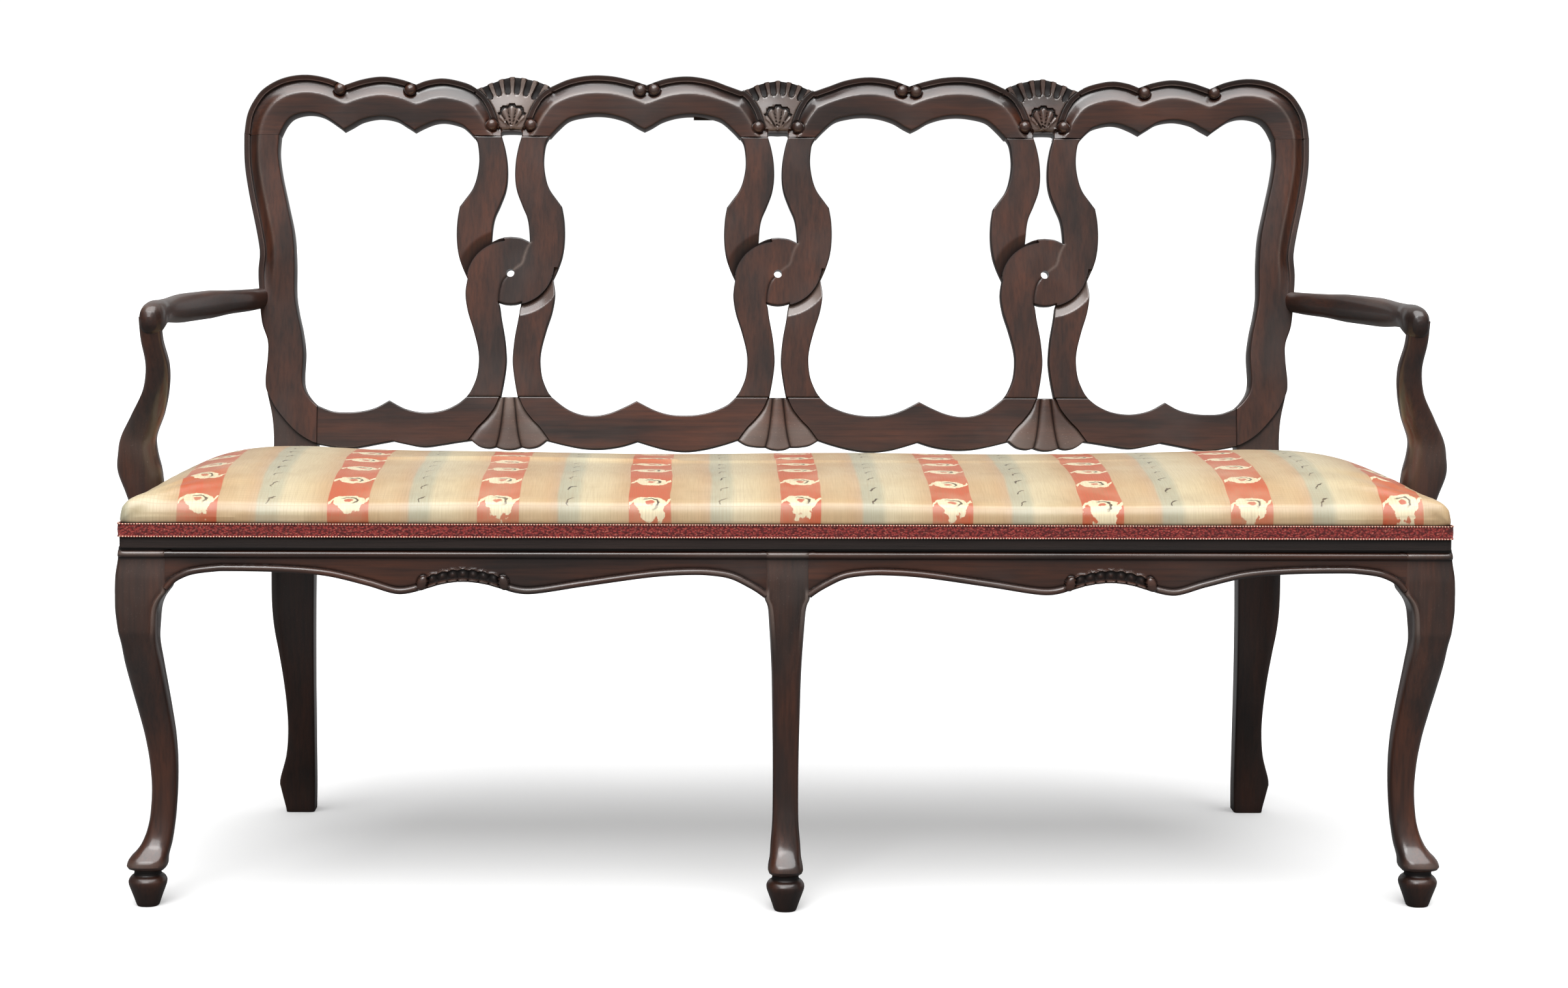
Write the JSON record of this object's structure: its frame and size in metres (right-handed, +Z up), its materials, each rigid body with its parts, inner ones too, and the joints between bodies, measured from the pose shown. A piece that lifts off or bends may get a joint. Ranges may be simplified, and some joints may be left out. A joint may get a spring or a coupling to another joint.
{
  "type": "chair-back settee",
  "caption": "Long open-arm settee with a row of joined chair backs, pierced splats, cabriole front legs and a lift-off striped upholstered seat.",
  "frame": {"origin": "floor level, at the centre of the whole part's footprint", "axes": "+X along the settee to the sitter's left as seen from the front, +Y towards the back, +Z up"},
  "size_m": [1.6816, 0.616, 1.0215],
  "materials": {
    "walnut": "semi-gloss dark walnut, worn on the edges",
    "inner_timber": "dry unpolished softwood",
    "seat_timber": "dark stained hardwood",
    "jute": "woven jute webbing",
    "linen": "plain woven linen",
    "silk": "ribbed satin with red, gold, pale blue and cream stripes",
    "braid": "crimson woven braid with light edges",
    "iron": "dull dark iron"
  },
  "bodies": {
    "frame": {"crest_rail": "walnut", "lower_back_rail": "walnut", "splat_left": "walnut", "splat_center": "walnut", "splat_right": "walnut", "mending_plate": "iron", "mending_screw_1": "iron", "mending_screw_2": "iron", "front_leg_left": "walnut", "front_leg_right": "walnut", "front_leg_center": "walnut", "back_post_left": "walnut", "back_post_right": "walnut", "front_apron_left": "walnut", "front_apron_right": "walnut", "side_rail_left": "walnut", "side_rail_right": "walnut", "rear_seat_rail": "walnut", "rear_bearer": "inner_timber", "cross_brace": "inner_timber", "corner_block_left": "inner_timber", "corner_block_right": "inner_timber", "arm_left": "walnut", "arm_right": "walnut", "arm_support_left": "walnut", "arm_support_right": "walnut", "arm_screw_1_left": "iron", "arm_screw_1_right": "iron", "arm_screw_2_left": "iron", "arm_screw_2_right": "iron"},
    "seat": {"seat_frame_front": "seat_timber", "seat_frame_rear": "seat_timber", "seat_frame_left": "seat_timber", "seat_frame_right": "seat_timber", "seat_frame_bar": "seat_timber", "seat_webbing": "jute", "seat_base_cloth": "linen", "seat_cushion": "silk", "seat_braid": "braid"}
  },
  "joints": [
    {"name": "seat_lift", "type": "slide", "parent": "frame", "child": "seat", "axis": [0, 0, 1], "range_m": [0, 0.06]}
  ]
}
